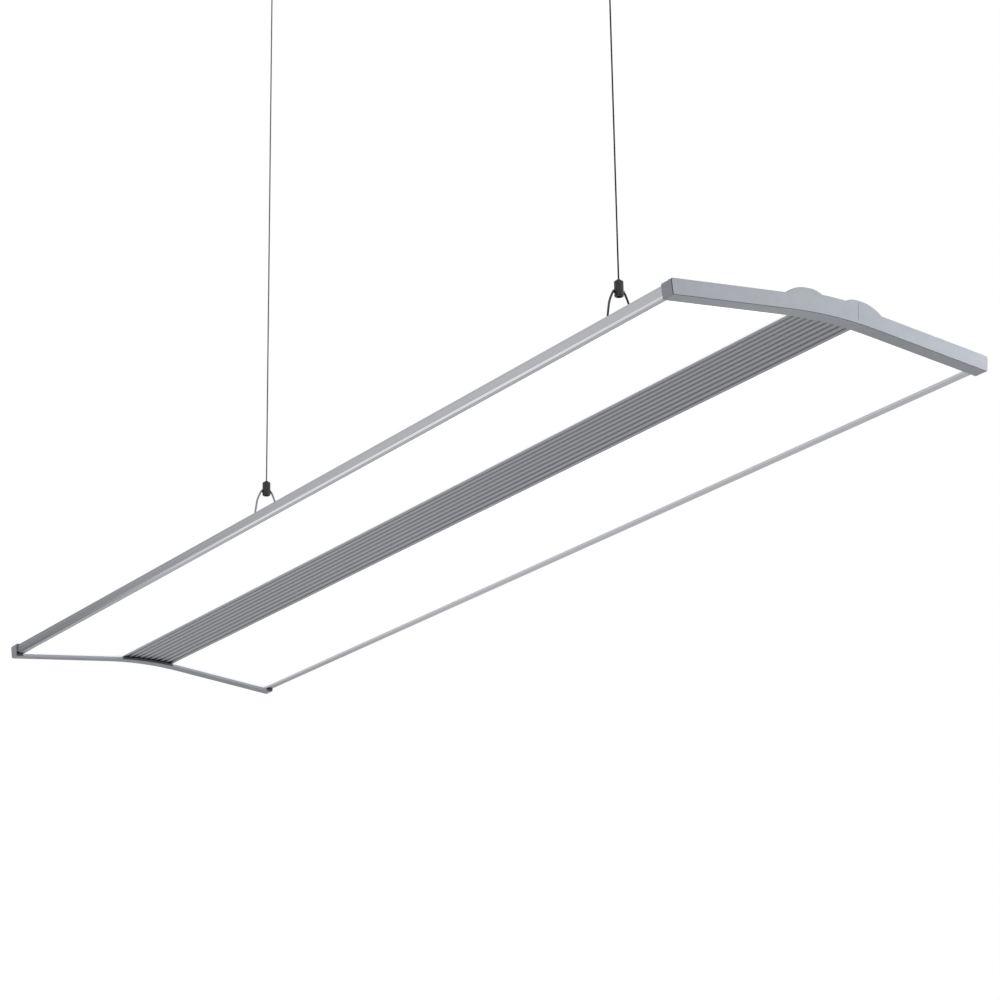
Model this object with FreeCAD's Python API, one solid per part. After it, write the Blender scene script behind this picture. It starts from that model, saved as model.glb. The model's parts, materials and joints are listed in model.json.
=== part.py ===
import FreeCAD, Part
import math
import os

from FreeCAD import Placement, Rotation, Vector

# A slim pendant light with two drooping panels on a ribbed spine, hung level on two steel cables.
# Millimetres. X runs across the light, Y along it from the near end to the far end, and Z up.
# The origin is on the ceiling, midway between the two cable fixings.

# Overall sizes
OVERALL_LENGTH = 1200.0
OVERALL_WIDTH = 314.0
DROOP_ANGLE = 6.1
CROWN_HALF_WIDTH = 42.5
SUSPENSION_SPACING = 635.0
CEILING_DROP = 745.0

# Panel layers, from the lower lip up
RAIL_LIP = 2.4
DIFFUSER_THICKNESS = 1.5
GUIDE_THICKNESS = 2.6
REFLECTOR_THICKNESS = 0.5
BACK_THICKNESS = 1.0
RAIL_TOP_LIP = 1.45
EDGE_GAP = 0.2

# Outer rails
RAIL_WALL = 1.6
RAIL_LIP_WIDTH = 6.6
RAIL_TOP_WIDTH = 7.0
RAIL_BEVEL_WIDTH = 0.8
RAIL_BEVEL_HEIGHT = 1.7

# End caps
CAP_DEPTH = 13.0
CAP_WALL = 1.5
CAP_LIP = 2.35
CAP_FIT = 0.15
CAP_ROUND = 1.6
CAP_TOP_ROUND = 2.2
CAP_EDGE = 0.7
CAP_SEAM_U = 23.0
CAP_SEAM_WIDTH = 0.35
CAP_SEAM_DEPTH = 0.25

# Ridges of the caps and of the driver cover between them
RIDGE_RISE = 6.3
VALLEY_RISE = 3.0
VALLEY_HALF_WIDTH = 11.3
RIDGE_INNER_SLOPE = 7.1
RIDGE_TOP_WIDTH = 17.2
RIDGE_OUTER_SLOPE = 11.0
RIDGE_INNER_ROUND = 18.0
RIDGE_OUTER_ROUND = 34.0
VALLEY_ROUND = 1.0
COVER_WALL = 1.2

# Ribbed spine
SPINE_RISE = 0.5
GROOVE_COUNT = 9
GROOVE_PITCH = 6.4
GROOVE_MOUTH = 3.4
GROOVE_FLOOR = 2.0
GROOVE_DEPTH = 1.7
EDGE_RIB = 3.1
EDGE_LAND = 0.25
EDGE_UNDERCUT = 2.2
EDGE_ROUND = 0.2
RIB_ROUND = 0.5
SPINE_PLATE = 1.6
SPINE_WALL = 2.0
SPINE_TOP = 1.4
BACK_SEAT = 4.0

# LED strips
STRIP_BOARD = 1.0
STRIP_MARGIN = 0.3
STRIP_END_GAP = 6.0
CHIP_HEIGHT = 0.8
CHIP_WIDTH = 1.6
CHIP_LENGTH = 2.8
CHIP_PITCH = 20.0

# Drivers, terminal block and leads under the cover
DRIVER_WIDTH = 16.0
DRIVER_HEADROOM = 2.0
DRIVER_LENGTH = 260.0
DRIVER_ROUND = 0.8
TERMINAL_WIDTH = 16.0
TERMINAL_HEADROOM = 1.6
TERMINAL_LENGTH = 30.0
TERMINAL_GAP = 45.0
TERMINAL_WAYS = 3
TERMINAL_SCREW_RADIUS = 1.6
TERMINAL_SCREW_DEPTH = 1.2
LEAD_RADIUS = 0.45
LEAD_STRAIGHT = 4.0
LEAD_BEND = 2.0
LEAD_CROSSING_BEND = 4.0
LEAD_HOLE_GAP = 0.25

# Supply inlet
INLET_OFFSET = 65.0
INLET_BORE_RADIUS = 3.2
INLET_NECK_RADIUS = 4.6
INLET_FLANGE_RADIUS = 6.2
INLET_FLANGE = 1.3

# Small screws and spacers
SCREW_RADIUS = 1.25
SCREW_HEAD_RADIUS = 2.4
SCREW_HEAD = 1.2
SCREW_HEAD_ROUND = 0.35
SOCKET_WIDTH = 2.0
SOCKET_DEPTH = 0.7
SOCKET_SIDES = 6
SCREW_GAP = 0.05
SCREW_BITE = 1.2
SPACER_RADIUS = 3.4
SPACER_FROM_DRIVER = 20.0
SPACER_PITCH = 300.0
SEAT_GAP = 0.05

# Bail and its brackets
BAIL_RADIUS = 1.0
BAIL_HALF_WIDTH = 24.0
BAIL_FOOT_BEND = 3.0
BAIL_SHOULDER = 1.0
BAIL_SHOULDER_BEND = 1.5
BAIL_KNEE_OUT = 4.8
BAIL_KNEE_DROP = 10.0
BAIL_KNEE_BEND = 36.0
BAIL_SEAT = 1.5
BAIL_RUNNING_GAP = 0.08
BRACKET_THICKNESS = 1.8
BRACKET_BASE = 12.0
BRACKET_LENGTH = 12.0
BRACKET_SETBACK = 2.0
BRACKET_SCREW_OUT = 3.0
BRACKET_EDGE = 2.6
EYE_RISE = 3.2
SLOT_GAP = 0.4

# Cable grippers
GRIPPER_HEIGHT = 117.0
GRIPPER_RADIUS = 4.2
GRIPPER_ROUND = 1.2
GRIPPER_FOOT_ROUND = 1.0
GRIPPER_WALL = 1.1
BOSS_RADIUS = 1.9
BOSS_LENGTH = 0.7
BAIL_HOLE_HEIGHT = 4.6
CAVITY_WEB = 0.4
CAVITY_ROOF = 1.4
TAPER_DROP = 2.6
TAPER_NARROWING = 0.6
CABLE_RADIUS = 0.75
CABLE_GAP = 0.2
CABLE_END_RISE = 2.4
WELL_RADIUS = 2.0
WELL_DEPTH = 3.2
NOZZLE_STEP = 0.4
NOZZLE_RISE = 1.2
NOZZLE_ROUND = 0.5
NOZZLE_COLLAR = 1.3
NOZZLE_RUNNING_GAP = 0.08
BALL_COUNT = 3
BALL_GAP = 0.06
SPRING_LENGTH = 3.2
SPRING_WALL = 0.5

# Ceiling fixings
CEILING_CAP_RADIUS = 10.0
CEILING_CAP_WALL = 2.0
CEILING_CAP_FLOOR = 3.0
CEILING_CAP_ROUND = 1.5
CEILING_FLANGE = 3.0
CEILING_BOSS_LENGTH = 8.0
THREAD_GAP = 0.05
FIXING_HOLE_RADIUS = 2.25
FIXING_HEAD_RADIUS = 4.4
FIXING_HEAD_DEPTH = 3.5
STOP_RADIUS = 3.0
STOP_SEAT_GAP = 0.1
STOP_ROOM = 5.0
SWING_CONE_ANGLE = 18.0

# Numbers smaller than this count as nothing
TINY = 1e-6

# Shape of the section: an arc in the middle, straight wings outside it
droop = math.radians(DROOP_ANGLE)
crown_radius = CROWN_HALF_WIDTH / math.sin(droop)
crown_u = crown_radius * droop
cap_u = crown_u + (OVERALL_WIDTH / 2 - CROWN_HALF_WIDTH) / math.cos(droop)

# Heights above the lower line of the caps, square to it
lip_s = CAP_LIP + CAP_FIT
spine_s = lip_s + SPINE_RISE
diffuser_s = lip_s + RAIL_LIP
guide_s = diffuser_s + DIFFUSER_THICKNESS
reflector_s = guide_s + GUIDE_THICKNESS
back_s = reflector_s + REFLECTOR_THICKNESS
floor_s = back_s + BACK_THICKNESS
rail_top_s = floor_s + RAIL_TOP_LIP
cap_top_s = rail_top_s + CAP_FIT + CAP_WALL
valley_s = cap_top_s + VALLEY_RISE
ridge_s = cap_top_s + RIDGE_RISE
cover_inset = CAP_WALL + CAP_FIT
cover_ridge_s = ridge_s - cover_inset
cover_valley_s = valley_s - cover_inset
ridge_room = cover_ridge_s - COVER_WALL - floor_s
valley_room = cover_valley_s - COVER_WALL - floor_s
driver_height = ridge_room - DRIVER_HEADROOM
terminal_height = ridge_room - TERMINAL_HEADROOM
lead_s = floor_s + driver_height / 2
strip_low_s = guide_s + STRIP_MARGIN
strip_high_s = reflector_s - STRIP_MARGIN

# Distances from the centre line, along the section
groove_span = (GROOVE_COUNT - 1) * GROOVE_PITCH + GROOVE_MOUTH
wall_u = groove_span / 2
strip_u = wall_u + EDGE_RIB
board_u = wall_u + STRIP_BOARD
guide_u = board_u + CHIP_HEIGHT + EDGE_GAP
back_u = wall_u - BACK_SEAT
rail_u = cap_u - CAP_WALL - CAP_FIT
panel_u = rail_u - RAIL_WALL - EDGE_GAP
ridge_inner_u = VALLEY_HALF_WIDTH + RIDGE_INNER_SLOPE
ridge_outer_u = ridge_inner_u + RIDGE_TOP_WIDTH
ridge_foot_u = ridge_outer_u + RIDGE_OUTER_SLOPE
ridge_middle_u = (ridge_inner_u + ridge_outer_u) / 2
lead_u = wall_u + LEAD_RADIUS + SEAT_GAP

# Places along the light
frame_half_length = OVERALL_LENGTH / 2 - CAP_WALL - CAP_FIT
strip_half_length = frame_half_length - STRIP_END_GAP
hang_y = SUSPENSION_SPACING / 2
driver_end_y = DRIVER_LENGTH / 2
lead_drop_y = driver_end_y + LEAD_STRAIGHT + LEAD_BEND
terminal_end_y = -driver_end_y - TERMINAL_GAP
terminal_y = terminal_end_y - TERMINAL_LENGTH / 2
inlet_y = INLET_OFFSET - hang_y
inner_spacer_y = driver_end_y + SPACER_FROM_DRIVER
outer_spacer_y = inner_spacer_y + SPACER_PITCH
spacer_places = [-outer_spacer_y, -inner_spacer_y, inner_spacer_y, outer_spacer_y]
crossing_y = (terminal_end_y - inner_spacer_y - SPACER_RADIUS) / 2

# Heights of the suspension
crown_z = -CEILING_DROP
gripper_z = crown_z + GRIPPER_HEIGHT
bail_hole_z = gripper_z + BAIL_HOLE_HEIGHT
boss_low_z = -CEILING_FLANGE - CEILING_BOSS_LENGTH
stop_z = boss_low_z - STOP_ROOM - STOP_RADIUS
cap_end_z = stop_z - STOP_RADIUS - CEILING_CAP_FLOOR


def section_point(u, s):
    """Point of the section at distance u along the caps' lower line and height s square to it."""
    along = max(-crown_u, min(crown_u, u))
    turn = along / crown_radius
    reach = crown_radius + s
    x = reach * math.sin(turn) + (u - along) * math.cos(turn)
    z = reach * math.cos(turn) - crown_radius - (u - along) * math.sin(turn)
    return Vector(x, 0, crown_z + z)


def section_turn(u):
    """How far the section has turned down at distance u, in degrees."""
    return math.degrees(max(-crown_u, min(crown_u, u)) / crown_radius)


def section_edges(start, end):
    """Edges from one section point to the next; a level run follows the curve of the section."""
    if abs(start.y - end.y) > TINY:
        return [Part.makeLine(section_point(start.x, start.y), section_point(end.x, end.y))]
    low = min(start.x, end.x)
    high = max(start.x, end.x)
    joints = [u for u in (-crown_u, crown_u) if low + TINY < u < high - TINY]
    stops = sorted([start.x, end.x] + joints, reverse=end.x < start.x)
    edges = []
    for first, last in zip(stops, stops[1:]):
        middle = (first + last) / 2
        ends = (section_point(first, start.y), section_point(last, start.y))
        if abs(middle) < crown_u:
            edges.append(Part.Arc(ends[0], section_point(middle, start.y), ends[1]).toShape())
        else:
            edges.append(Part.makeLine(*ends))
    return edges


def corner_points(before, here, after, radius):
    """First, middle and last point of the arc that rounds a corner."""
    back = (before - here).normalize()
    ahead = (after - here).normalize()
    half_angle = back.getAngle(ahead) / 2
    reach = radius / math.tan(half_angle)
    to_arc = radius / math.sin(half_angle) - radius
    inward = (back + ahead).normalize()
    return here + back * reach, here + inward * to_arc, here + ahead * reach


def section_face(outline):
    """Face of a closed outline of (u, s) or (u, s, corner radius) points."""
    count = len(outline)
    points = [Vector(point[0], point[1], 0) for point in outline]
    radii = [point[2] if len(point) > 2 else 0.0 for point in outline]
    corners = []
    for index in range(count):
        if radii[index] > TINY:
            neighbours = (points[index - 1], points[index], points[(index + 1) % count])
            corners.append(corner_points(*neighbours, radii[index]))
        else:
            corners.append((points[index],))
    edges = []
    for index in range(count):
        corner = corners[index]
        if len(corner) == 3:
            edges.append(Part.Arc(*[section_point(point.x, point.y) for point in corner]).toShape())
        edges.extend(section_edges(corner[-1], corners[(index + 1) % count][0]))
    return Part.Face(Part.Wire(Part.__sortEdges__(edges)))


def bar(outline, start_y, end_y):
    """Section outline drawn out along the light."""
    face = section_face(outline)
    face.translate(Vector(0, start_y, 0))
    return face.extrude(Vector(0, end_y - start_y, 0))


def frame_bar(outline):
    """Section outline drawn out between the end walls of the two caps."""
    return bar(outline, -frame_half_length, frame_half_length)


def rectangle(u1, s1, u2, s2):
    """Outline of a stretch of the section between two distances and two heights."""
    return [(u1, s1), (u2, s1), (u2, s2), (u1, s2)]


def on_side(outline, side):
    """The outline itself for the right side (+1), or its mirror image for the left side (-1)."""
    return [(side * point[0],) + tuple(point[1:]) for point in outline]


def section_placement(u, s, y):
    """Place on the section with its own X along the section and its own Z square to it."""
    return Placement(section_point(u, s) + Vector(0, y, 0), Rotation(Vector(0, 1, 0), section_turn(u)))


def block(u, s, y, width, length, height):
    """Straight block standing on the section, centred at u and y."""
    shape = Part.makeBox(width, length, height, Vector(-width / 2, -length / 2, 0))
    shape.Placement = section_placement(u, s, y)
    return shape


def post(u, s, y, radius, height):
    """Round post standing on the section."""
    shape = Part.makeCylinder(radius, height)
    shape.Placement = section_placement(u, s, y)
    return shape


def upright(radius, low, high, x=0.0, y=0.0):
    """Vertical cylinder between two heights."""
    return Part.makeCylinder(radius, high - low, Vector(x, y, low))


def crossbar(radius, start_x, end_x, y, z):
    """Cylinder along X."""
    return Part.makeCylinder(radius, end_x - start_x, Vector(start_x, y, z), Vector(1, 0, 0))


def tube(points, bends, radius):
    """Round wire along straight runs, with an arc of the given radius at each inner point."""
    edges = []
    last = points[0]
    for before, here, after, bend in zip(points, points[1:], points[2:], bends):
        arc = corner_points(before, here, after, bend)
        edges.append(Part.makeLine(last, arc[0]))
        edges.append(Part.Arc(*arc).toShape())
        last = arc[2]
    edges.append(Part.makeLine(last, points[-1]))
    circle = Part.Wire(Part.makeCircle(radius, points[0], points[1] - points[0]))
    return Part.Wire(edges).makePipeShell([circle], True, False)


def at_heights(radius_heights):
    """Turned solid about the Z axis through (radius, height) points, closed on the axis."""
    low = radius_heights[0][1]
    high = radius_heights[-1][1]
    outline = [Vector(0, 0, low)] + [Vector(r, 0, z) for r, z in radius_heights] + [Vector(0, 0, high)]
    face = Part.Face(Part.makePolygon(outline + outline[:1]))
    return face.revolve(Vector(0, 0, 0), Vector(0, 0, 1), 360)


def round_edges(shape, radius, chosen):
    """Shape with its chosen edges rounded."""
    edges = [edge for edge in shape.Edges if chosen(edge)]
    return shape.makeFillet(radius, edges)


def level_circle(z):
    """Chooser of the round edges at one height."""
    return lambda edge: isinstance(edge.Curve, Part.Circle) and abs(edge.Curve.Center.z - z) < TINY


def line_meeting(first_point, first_way, second_point, second_way):
    """Point where two lines of the section meet."""
    gap = second_point - first_point
    cross = first_way.x * second_way.y - first_way.y * second_way.x
    return first_point + first_way * ((gap.x * second_way.y - gap.y * second_way.x) / cross)


def ridge_outline(depth, base_s):
    """Closed outline of the two ridges and the valley, moved inwards by depth, down to height base_s."""
    right = [(VALLEY_HALF_WIDTH, valley_s), (ridge_inner_u, ridge_s)]
    right += [(ridge_outer_u, ridge_s), (ridge_foot_u, cap_top_s)]
    line = [Vector(-u, s, 0) for u, s in reversed(right)] + [Vector(u, s, 0) for u, s in right]
    ways = [(end - start).normalize() for start, end in zip(line, line[1:])]
    starts = [start + Vector(way.y, -way.x, 0) * depth for start, way in zip(line, ways)]
    base = (Vector(0, base_s, 0), Vector(1, 0, 0))
    sides = [base] + list(zip(starts, ways)) + [base]
    corners = [line_meeting(*first, *second) for first, second in zip(sides, sides[1:])]
    right_radii = [VALLEY_ROUND + depth, RIDGE_INNER_ROUND - depth, RIDGE_OUTER_ROUND - depth, 0.0]
    radii = right_radii[::-1] + right_radii
    return [(corner.x, corner.y, radius) for corner, radius in zip(corners, radii)]


def screw(u, s, y, length):
    """Pan head screw with a hexagon socket; its head stands on height s and its shank goes down from it."""
    head = upright(SCREW_HEAD_RADIUS, 0, SCREW_HEAD)
    head = round_edges(head, SCREW_HEAD_ROUND, level_circle(SCREW_HEAD))
    step = 2 * math.pi / SOCKET_SIDES
    reach = SOCKET_WIDTH / 2 / math.cos(step / 2)
    low = SCREW_HEAD - SOCKET_DEPTH
    turns = [step * index for index in range(SOCKET_SIDES + 1)]
    corners = [Vector(reach * math.cos(turn), reach * math.sin(turn), low) for turn in turns]
    socket = Part.Face(Part.makePolygon(corners))
    body = head.fuse(upright(SCREW_RADIUS, -length, 0)).removeSplitter()
    body = body.cut(socket.extrude(Vector(0, 0, SOCKET_DEPTH)))
    body.Placement = section_placement(u, s, y)
    return body


def screw_hole(u, s, y, length):
    """Hole that clears a screw's shank, from height s down and out past its end."""
    depth = length + SCREW_GAP
    return post(u, s - depth, y, SCREW_RADIUS + SCREW_GAP, depth + SCREW_HEAD)


# Screws: where each sits, as (u, s, y, length)
cap_screw_u = rail_u - RAIL_TOP_WIDTH / 2
cap_screw_y = OVERALL_LENGTH / 2 - CAP_DEPTH / 2
cap_screw_length = CAP_WALL + CAP_FIT + SCREW_BITE
cap_screws = [
    (side * cap_screw_u, cap_top_s, end * cap_screw_y, cap_screw_length)
    for side in (-1, 1)
    for end in (-1, 1)
]
cover_screw_length = cover_valley_s - floor_s + SCREW_BITE
cover_screws = [(0.0, cover_valley_s + SEAT_GAP, y, cover_screw_length) for y in spacer_places]
bracket_u = BAIL_HALF_WIDTH - BAIL_RADIUS - BAIL_FOOT_BEND - BRACKET_SETBACK
bracket_inner_u = bracket_u - BRACKET_THICKNESS
bracket_foot_u = bracket_inner_u + BRACKET_BASE
bracket_screw_u = bracket_u + BRACKET_SCREW_OUT
bracket_top_s = floor_s + BRACKET_THICKNESS
bracket_screw_length = BRACKET_THICKNESS + SCREW_BITE
bracket_screws = [
    (side * bracket_screw_u, bracket_top_s + SEAT_GAP, end * hang_y, bracket_screw_length)
    for side in (-1, 1)
    for end in (-1, 1)
]

# The bail's lower bar turns in eyes that stand just above the ridges
bar_z = section_point(bracket_u, cover_ridge_s).z + EYE_RISE
bracket_eye_s = cover_ridge_s + EYE_RISE


def drill(shape, screws):
    """Shape with a clearance hole for each screw."""
    return shape.cut([screw_hole(*place) for place in screws])


# Light panel pieces


def spine():
    """Extruded spine: ribs below with undercut edges, a hollow box with seats for the panels above."""
    outline = []
    for index in range(GROOVE_COUNT):
        middle = (index - (GROOVE_COUNT - 1) / 2) * GROOVE_PITCH
        outline.append((middle - GROOVE_MOUTH / 2, spine_s, RIB_ROUND))
        outline.append((middle - GROOVE_FLOOR / 2, spine_s + GROOVE_DEPTH, RIB_ROUND))
        outline.append((middle + GROOVE_FLOOR / 2, spine_s + GROOVE_DEPTH, RIB_ROUND))
        outline.append((middle + GROOVE_MOUTH / 2, spine_s, RIB_ROUND))
    right = [(strip_u, spine_s, EDGE_ROUND), (strip_u, spine_s + EDGE_LAND)]
    right += [(strip_u - EDGE_UNDERCUT, diffuser_s), (wall_u, diffuser_s), (wall_u, back_s)]
    right += [(back_u, back_s), (back_u, floor_s)]
    outline += right + list(reversed(on_side(right, -1)))
    hollow_low = spine_s + GROOVE_DEPTH + SPINE_PLATE
    hollow_u = wall_u - SPINE_WALL
    hollow = frame_bar(rectangle(-hollow_u, hollow_low, hollow_u, back_s - SPINE_TOP))
    return drill(frame_bar(outline).cut(hollow), cover_screws + bracket_screws)


def rail(side):
    """Outer rail: a side wall with a lower lip under the diffuser and an upper lip over the back plate."""
    outline = [(rail_u - RAIL_LIP_WIDTH, lip_s), (rail_u - RAIL_BEVEL_WIDTH, lip_s)]
    outline += [(rail_u, lip_s + RAIL_BEVEL_HEIGHT), (rail_u, rail_top_s)]
    outline += [(rail_u - RAIL_TOP_WIDTH, rail_top_s), (rail_u - RAIL_TOP_WIDTH, floor_s)]
    outline += [(rail_u - RAIL_WALL, floor_s)]
    outline += [(rail_u - RAIL_WALL, diffuser_s), (rail_u - RAIL_LIP_WIDTH, diffuser_s)]
    return drill(frame_bar(on_side(outline, side)), cap_screws)


def panel_layer(side, inner_u, low, thickness):
    """One flat layer of a wing, from inner_u out to the rail."""
    return frame_bar(on_side(rectangle(inner_u, low, panel_u, low + thickness), side))


def diffuser(side):
    """Opal sheet that lies on the lips of the spine and the rail."""
    return panel_layer(side, wall_u + EDGE_GAP, diffuser_s, DIFFUSER_THICKNESS)


def light_guide(side):
    """Clear plate that carries the light outwards from the LED strip."""
    return panel_layer(side, guide_u, guide_s, GUIDE_THICKNESS)


def reflector(side):
    """White sheet over the light guide."""
    return panel_layer(side, guide_u, reflector_s, REFLECTOR_THICKNESS)


def back_plate(side):
    """Metal sheet that closes the wing on top, with a hole for the LED lead."""
    plate = panel_layer(side, back_u + EDGE_GAP, back_s, BACK_THICKNESS)
    hole_radius = LEAD_RADIUS + LEAD_HOLE_GAP
    hole = post(side * lead_u, reflector_s, lead_drop_y, hole_radius, floor_s - reflector_s)
    return drill(plate.cut(hole), cap_screws + bracket_screws)


def led_strip(side):
    """Circuit board of the LEDs, on the outer wall of the spine."""
    outline = on_side(rectangle(wall_u, strip_low_s, board_u, strip_high_s), side)
    return bar(outline, -strip_half_length, strip_half_length)


def led_chips(side):
    """Row of LEDs on the board."""
    middle = (strip_low_s + strip_high_s) / 2
    low = middle - CHIP_WIDTH / 2
    outline = on_side(rectangle(board_u, low, board_u + CHIP_HEIGHT, low + CHIP_WIDTH), side)
    count = int((2 * strip_half_length - CHIP_LENGTH) / CHIP_PITCH) + 1
    chip = bar(outline, -CHIP_LENGTH / 2, CHIP_LENGTH / 2)
    places = [(index - (count - 1) / 2) * CHIP_PITCH for index in range(count)]
    return Part.makeCompound([chip.translated(Vector(0, y, 0)) for y in places])


def end_cap(end):
    """Moulded cap over one end, with two ridges on top and a fine seam in its face."""
    face_y = -OVERALL_LENGTH / 2
    open_y = face_y + CAP_DEPTH
    inner_y = face_y + CAP_WALL
    outline = [(-cap_u, 0, CAP_ROUND), (cap_u, 0, CAP_ROUND)]
    outline += [(cap_u, cap_top_s, CAP_TOP_ROUND), (-cap_u, cap_top_s, CAP_TOP_ROUND)]
    body = bar(outline, face_y, open_y)
    ridges = bar(ridge_outline(0, cap_top_s - CAP_WALL), face_y, open_y)
    hollow_u = cap_u - CAP_WALL
    hollow = bar(rectangle(-hollow_u, CAP_LIP, hollow_u, cap_top_s - CAP_WALL), inner_y, open_y)
    ridge_hollow = bar(ridge_outline(CAP_WALL, cap_top_s - 2 * CAP_WALL), inner_y, open_y)
    seam_half = CAP_SEAM_WIDTH / 2
    seam_outline = rectangle(CAP_SEAM_U - seam_half, CAP_LIP, CAP_SEAM_U + seam_half, cover_ridge_s)
    seam = bar(seam_outline, face_y, face_y + CAP_SEAM_DEPTH)
    solid = body.fuse(ridges).removeSplitter()
    solid = round_edges(solid, CAP_EDGE, lambda edge: abs(edge.BoundBox.YMax - face_y) < TINY)
    cap = solid.cut([hollow, ridge_hollow, seam])
    if end > 0:
        cap = cap.mirror(Vector(0, 0, 0), Vector(0, 1, 0))
    return drill(cap, cap_screws)


# Driver cover and what lies under it


def driver_cover():
    """Cover over the spine with two ridges, open where the bail brackets and the inlet come through."""
    shell = frame_bar(ridge_outline(cover_inset, floor_s))
    shell = shell.cut(frame_bar(ridge_outline(cover_inset + COVER_WALL, floor_s)))
    slot_width = BRACKET_THICKNESS + 2 * SLOT_GAP
    slot_length = BRACKET_LENGTH + 2 * SLOT_GAP
    slot_u = bracket_u - BRACKET_THICKNESS / 2
    slots = [
        block(side * slot_u, floor_s, end * hang_y, slot_width, slot_length, ridge_s - floor_s)
        for side in (-1, 1)
        for end in (-1, 1)
    ]
    inlet = upright(INLET_NECK_RADIUS + SEAT_GAP, crown_z + floor_s, crown_z + ridge_s, 0, inlet_y)
    return drill(shell.cut(slots + [inlet]), cover_screws)


def cover_spacers():
    """Posts that hold the valley of the cover above the spine."""
    height = valley_room - 2 * SEAT_GAP
    posts = [post(0, floor_s + SEAT_GAP, y, SPACER_RADIUS, height) for y in spacer_places]
    return Part.makeCompound([drill(shape, cover_screws) for shape in posts])


def screw_group(places):
    """Identical screws, each its own solid."""
    return Part.makeCompound([screw(*place) for place in places])


def driver(side):
    """Slim driver that feeds one wing, lying under a ridge of the cover."""
    case = block(side * ridge_middle_u, floor_s, 0, DRIVER_WIDTH, DRIVER_LENGTH, driver_height)
    return case.makeFillet(DRIVER_ROUND, case.Edges)


def terminal_block():
    """Block where the supply is joined, with a row of clamping screws sunk into its top."""
    body = block(ridge_middle_u, floor_s, terminal_y, TERMINAL_WIDTH, TERMINAL_LENGTH, terminal_height)
    pitch = TERMINAL_LENGTH / TERMINAL_WAYS
    places = [terminal_y + (index - (TERMINAL_WAYS - 1) / 2) * pitch for index in range(TERMINAL_WAYS)]
    low_s = floor_s + terminal_height - TERMINAL_SCREW_DEPTH
    depth = 2 * TERMINAL_SCREW_DEPTH
    wells = [post(ridge_middle_u, low_s, y, TERMINAL_SCREW_RADIUS, depth) for y in places]
    return body.cut(wells)


def led_lead(side):
    """Lead from a driver's end, down through the back plate to the top edge of its LED strip."""
    u = side * lead_u
    start = section_point(u, lead_s) + Vector(0, driver_end_y, 0)
    turn = section_point(u, lead_s) + Vector(0, lead_drop_y, 0)
    end = section_point(u, strip_high_s) + Vector(0, lead_drop_y, 0)
    return tube([start, turn, end], [LEAD_BEND], LEAD_RADIUS)


def right_supply_lead():
    """Straight lead from the terminal block to the right driver."""
    middle = section_point(ridge_middle_u, lead_s)
    ends = [middle + Vector(0, terminal_end_y, 0), middle - Vector(0, driver_end_y, 0)]
    return tube(ends, [], LEAD_RADIUS)


def left_supply_lead():
    """Lead from the terminal block, across under the valley and on to the left driver."""
    level = crown_z + floor_s + valley_room / 2
    right_x = section_point(ridge_middle_u - TERMINAL_WIDTH / 4, lead_s).x
    left_x = section_point(-ridge_middle_u, lead_s).x
    points = [
        Vector(right_x, terminal_end_y, level),
        Vector(right_x, crossing_y, level),
        Vector(left_x, crossing_y, level),
        Vector(left_x, -driver_end_y, level),
    ]
    return tube(points, [LEAD_CROSSING_BEND, LEAD_CROSSING_BEND], LEAD_RADIUS)


def inlet_grommet():
    """Grommet in the valley of the cover that the supply cord would come in through."""
    wall_high = crown_z + cover_valley_s + SEAT_GAP
    wall_low = section_point(INLET_FLANGE_RADIUS, cover_valley_s - COVER_WALL).z - SEAT_GAP
    outside = upright(INLET_FLANGE_RADIUS, wall_high, wall_high + INLET_FLANGE, 0, inlet_y)
    inside = upright(INLET_FLANGE_RADIUS, wall_low - INLET_FLANGE, wall_low, 0, inlet_y)
    neck = upright(INLET_NECK_RADIUS, wall_low, wall_high, 0, inlet_y)
    bore = upright(INLET_BORE_RADIUS, wall_low - INLET_FLANGE, wall_high + INLET_FLANGE, 0, inlet_y)
    return outside.fuse([neck, inside]).removeSplitter().cut(bore)


# Suspension


def bail_brackets(end):
    """Pair of angle brackets on the spine, with eyes that the bail's lower bar turns in."""
    y = end * hang_y
    brackets = []
    for side in (-1, 1):
        outline = [(bracket_inner_u, floor_s), (bracket_foot_u, floor_s), (bracket_foot_u, bracket_top_s)]
        outline += [(bracket_u, bracket_top_s), (bracket_u, bracket_eye_s + BRACKET_EDGE)]
        outline += [(bracket_inner_u, bracket_eye_s + BRACKET_EDGE)]
        bracket = bar(on_side(outline, side), y - BRACKET_LENGTH / 2, y + BRACKET_LENGTH / 2)
        eye_radius = BAIL_RADIUS + BAIL_RUNNING_GAP
        eye = crossbar(eye_radius, -BAIL_HALF_WIDTH, BAIL_HALF_WIDTH, y, bar_z)
        brackets.append(drill(bracket.cut(eye), bracket_screws))
    return Part.makeCompound(brackets)


def bail(end):
    """Bent wire loop: its two ends sit in the gripper's sides and its lower bar in the brackets."""
    y = end * hang_y
    shoulder_x = GRIPPER_RADIUS + BOSS_LENGTH + BAIL_SHOULDER
    right = [
        Vector(GRIPPER_RADIUS - BAIL_SEAT, y, bail_hole_z),
        Vector(shoulder_x, y, bail_hole_z),
        Vector(shoulder_x + BAIL_KNEE_OUT, y, bail_hole_z - BAIL_KNEE_DROP),
        Vector(BAIL_HALF_WIDTH, y, bar_z),
    ]
    left = [Vector(-point.x, point.y, point.z) for point in reversed(right)]
    bends = [BAIL_SHOULDER_BEND, BAIL_KNEE_BEND, BAIL_FOOT_BEND]
    return tube(right + left, bends + bends[::-1], BAIL_RADIUS)


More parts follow.
